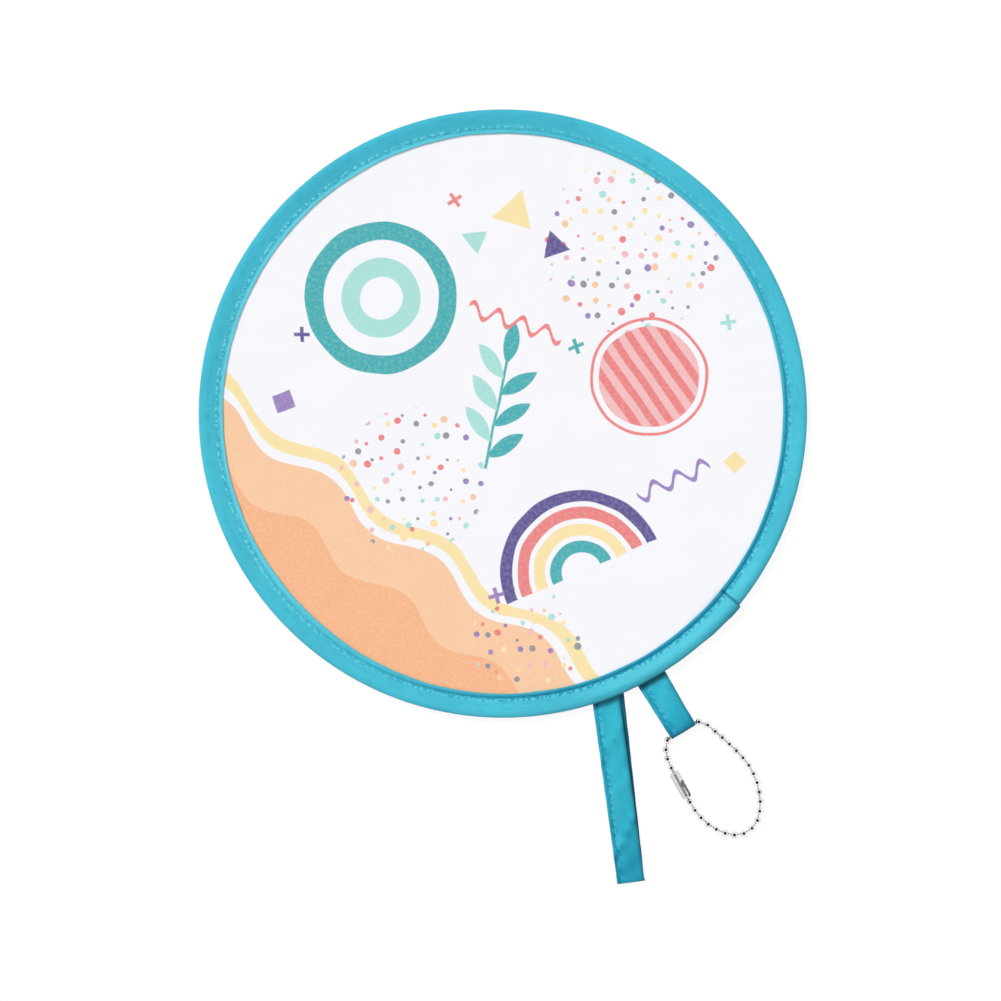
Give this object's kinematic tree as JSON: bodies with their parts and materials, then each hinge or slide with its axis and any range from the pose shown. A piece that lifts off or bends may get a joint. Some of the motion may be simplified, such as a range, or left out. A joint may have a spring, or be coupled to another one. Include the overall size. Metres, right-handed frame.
{
  "type": "folding fan",
  "caption": "Round pop-up pocket fan: cloth on a spring hoop in a tape binding, with a wrist strap and a ball chain on a tab.",
  "frame": {"origin": "centre of the cloth's front face", "axes": "+Z out of the cloth's printed front face, +Y away from the strap and the chain, +X to the right seen from the front"},
  "size_m": [0.2, 0.2549, 0.0042],
  "materials": {
    "cloth": "fine plain weave, printed, matt",
    "tape": "woven polyester tape, soft sheen",
    "spring_steel": "drawn spring wire",
    "bright_chain": "nickel-plated, bright"
  },
  "bodies": {
    "root": {"fan_cloth": "cloth", "rim_binding": "tape", "hoop_wire": "spring_steel", "hoop_ferrule": "spring_steel", "strap_tail": "tape", "tab_tail": "tape"},
    "strap": {"strap_loop": "tape"},
    "tab": {"tab_loop": "tape"},
    "chain_fold": {"chain_ball_01": "bright_chain", "chain_ball_02": "bright_chain", "chain_ball_03": "bright_chain", "chain_ball_30": "bright_chain", "chain_ball_31": "bright_chain", "chain_ball_32": "bright_chain"},
    "chain_row_1": {"chain_ball_04": "bright_chain", "chain_ball_29": "bright_chain"},
    "chain_row_2": {"chain_ball_05": "bright_chain", "chain_ball_28": "bright_chain"},
    "chain_row_3": {"chain_ball_06": "bright_chain", "chain_ball_07": "bright_chain", "chain_ball_08": "bright_chain", "chain_ball_09": "bright_chain", "chain_ball_25": "bright_chain", "chain_ball_26": "bright_chain", "chain_ball_27": "bright_chain", "chain_connector": "bright_chain"},
    "chain_row_4": {"chain_ball_10": "bright_chain", "chain_ball_24": "bright_chain"},
    "chain_row_5": {"chain_ball_11": "bright_chain", "chain_ball_23": "bright_chain"},
    "chain_row_6": {"chain_ball_12": "bright_chain", "chain_ball_22": "bright_chain"},
    "chain_row_7": {"chain_ball_13": "bright_chain", "chain_ball_21": "bright_chain"},
    "chain_row_8": {"chain_ball_14": "bright_chain", "chain_ball_20": "bright_chain"},
    "chain_row_9": {"chain_ball_15": "bright_chain", "chain_ball_19": "bright_chain"},
    "chain_row_10": {"chain_ball_16": "bright_chain", "chain_ball_17": "bright_chain", "chain_ball_18": "bright_chain"}
  },
  "joints": [
    {"name": "strap_swing", "type": "hinge", "parent": "root", "child": "strap", "pos_m": [0.03405, -0.09509, -0.00226], "axis": [0.9415, 0.3371, 0], "range_deg": [-90, 90]},
    {"name": "tab_swing", "type": "hinge", "parent": "root", "child": "tab", "pos_m": [0.04943, -0.08808, -0.00226], "axis": [0.8721, 0.4894, 0], "range_deg": [-90, 90]},
    {"name": "chain_swing", "type": "hinge", "parent": "tab", "child": "chain_fold", "pos_m": [0.05852, -0.10309, -0.00076], "axis": [0.8554, 0.518, 0], "range_deg": [-60, 60]},
    {"name": "chain_drape_1", "type": "hinge", "parent": "chain_fold", "child": "chain_row_1", "pos_m": [0.06046, -0.10644, -0.00119], "axis": [0.863, 0.5051, 0], "range_deg": [-10, 10]},
    {"name": "chain_drape_2", "type": "hinge", "parent": "chain_row_1", "child": "chain_row_2", "pos_m": [0.06196, -0.10899, -0.00141], "axis": [0.863, 0.5052, 0], "range_deg": [-10, 10]},
    {"name": "chain_drape_3", "type": "hinge", "parent": "chain_row_2", "child": "chain_row_3", "pos_m": [0.06376, -0.11148, -0.00131], "axis": [0.8595, 0.511, -0.0102], "range_deg": [-10, 10]},
    {"name": "chain_drape_4", "type": "hinge", "parent": "chain_row_3", "child": "chain_row_4", "pos_m": [0.07118, -0.12167, -0.00131], "axis": [0.8476, 0.5305, -0.0088], "range_deg": [-10, 10]},
    {"name": "chain_drape_5", "type": "hinge", "parent": "chain_row_4", "child": "chain_row_5", "pos_m": [0.07279, -0.12438, -0.00141], "axis": [0.8475, 0.5307, 0], "range_deg": [-10, 10]},
    {"name": "chain_drape_6", "type": "hinge", "parent": "chain_row_5", "child": "chain_row_6", "pos_m": [0.07436, -0.12708, -0.00141], "axis": [0.8468, 0.532, 0], "range_deg": [-10, 10]},
    {"name": "chain_drape_7", "type": "hinge", "parent": "chain_row_6", "child": "chain_row_7", "pos_m": [0.0759, -0.12967, -0.00141], "axis": [0.8455, 0.534, 0], "range_deg": [-10, 10]},
    {"name": "chain_drape_8", "type": "hinge", "parent": "chain_row_7", "child": "chain_row_8", "pos_m": [0.07738, -0.13208, -0.00141], "axis": [0.8446, 0.5354, 0], "range_deg": [-10, 10]},
    {"name": "chain_drape_9", "type": "hinge", "parent": "chain_row_8", "child": "chain_row_9", "pos_m": [0.07876, -0.1343, -0.00141], "axis": [0.8432, 0.5376, 0], "range_deg": [-10, 10]},
    {"name": "chain_drape_10", "type": "hinge", "parent": "chain_row_9", "child": "chain_row_10", "pos_m": [0.07992, -0.13612, -0.00141], "axis": [0.844, 0.5363, 0], "range_deg": [-10, 10]}
  ]
}
